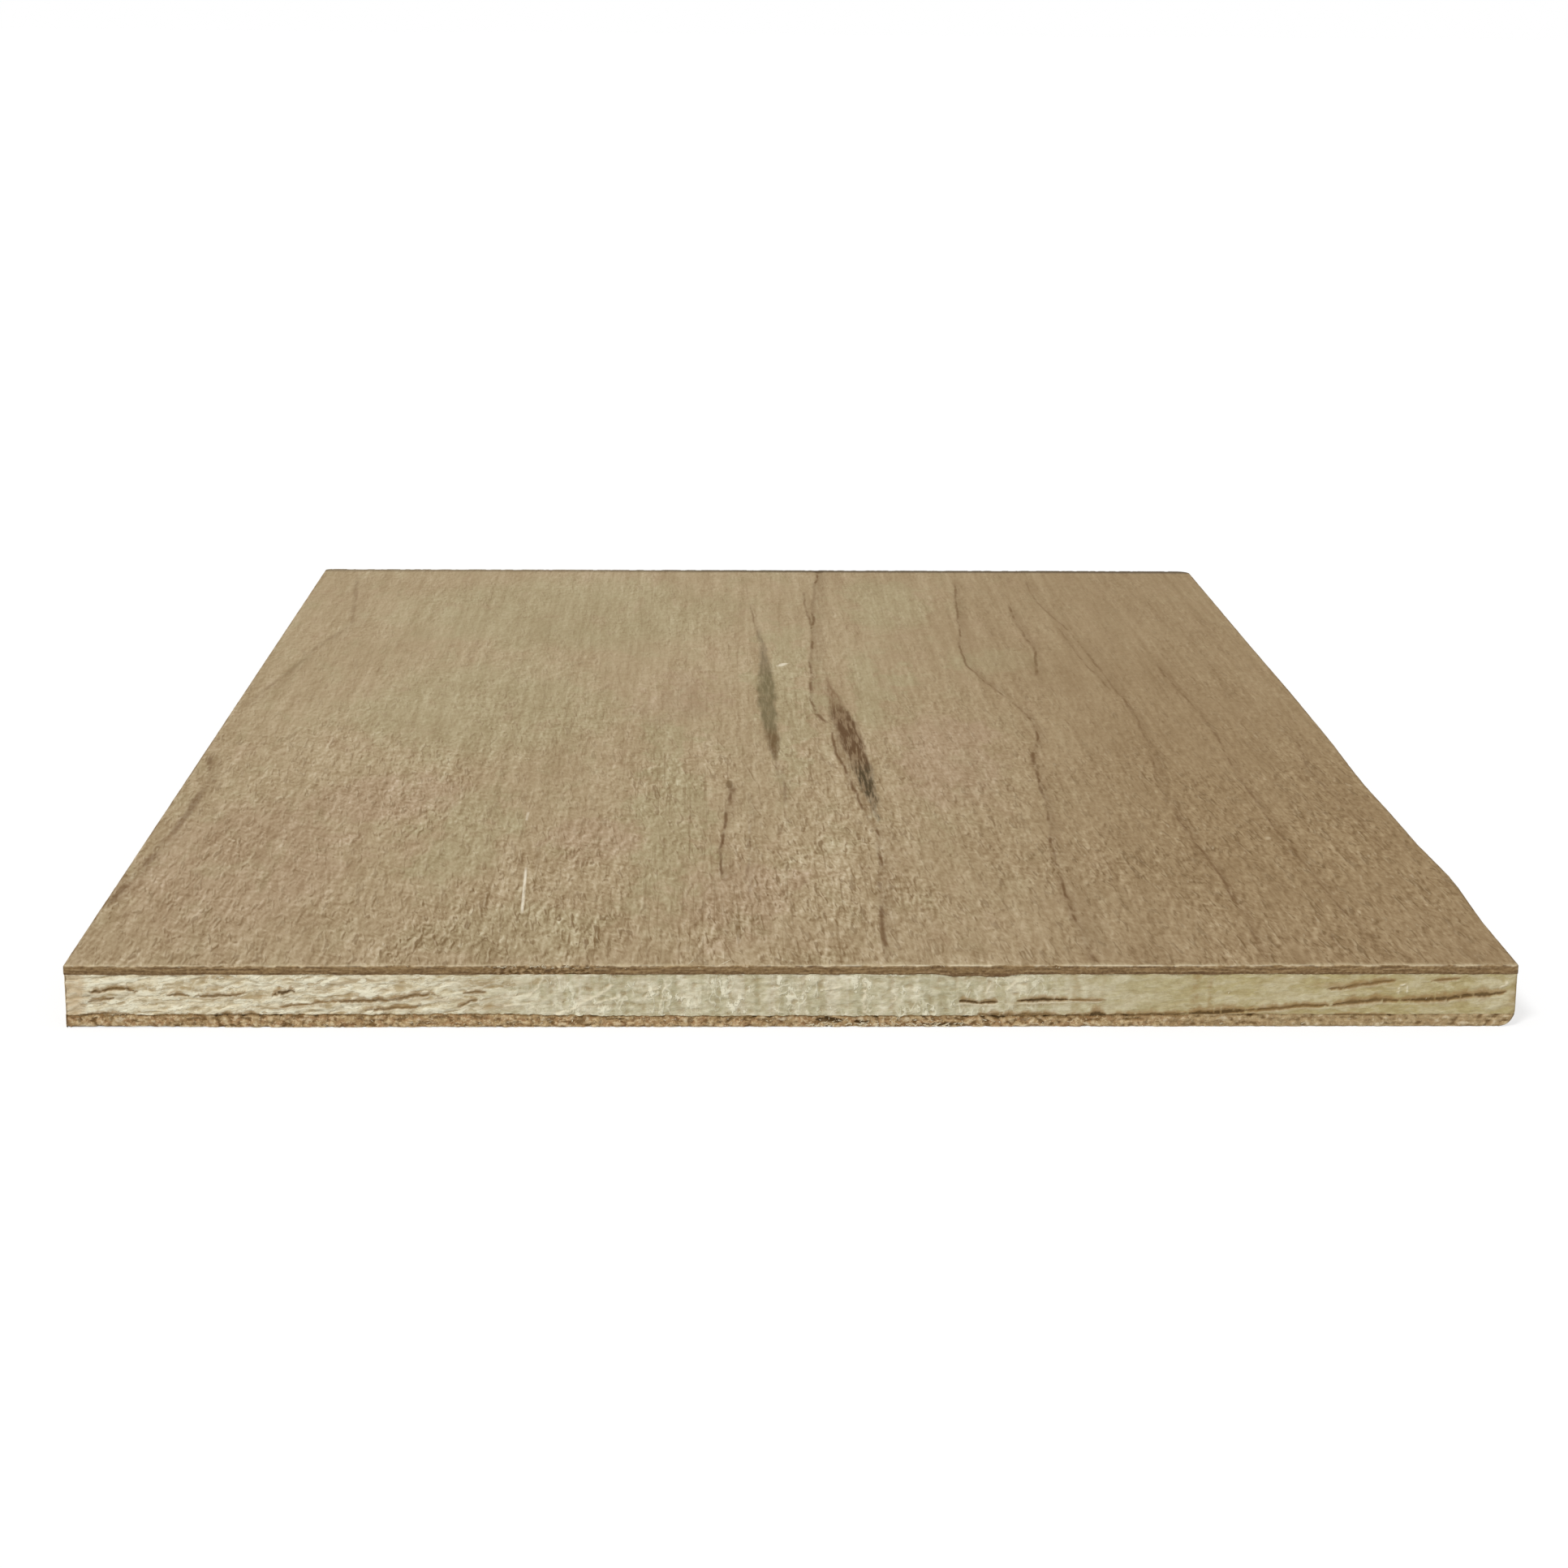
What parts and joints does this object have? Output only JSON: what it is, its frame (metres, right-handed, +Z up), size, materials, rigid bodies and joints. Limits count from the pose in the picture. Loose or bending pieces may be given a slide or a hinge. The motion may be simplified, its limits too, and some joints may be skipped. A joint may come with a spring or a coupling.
{
  "type": "cherry veneer plywood panel",
  "caption": "Small sawn sample panel of veneer plywood: a thick pale cross-grain core ply between a cherry face veneer and a rough brown back veneer.",
  "frame": {"origin": "middle of the underside, on the surface that the panel lies on", "axes": "+Z up out of the cherry face, +Y along the face grain away from the front edge, +X across the face grain to the right"},
  "size_m": [0.1016, 0.1524, 0.0045],
  "materials": {
    "back_veneer": "rough-sawn brown veneer, raw",
    "core_ply": "sawn pale softwood-like ply, raw",
    "face_veneer": "sanded cherry veneer, raw and matt"
  },
  "bodies": {
    "root": {"back_veneer": "back_veneer", "core_ply": "core_ply", "face_veneer": "face_veneer"}
  },
  "joints": []
}
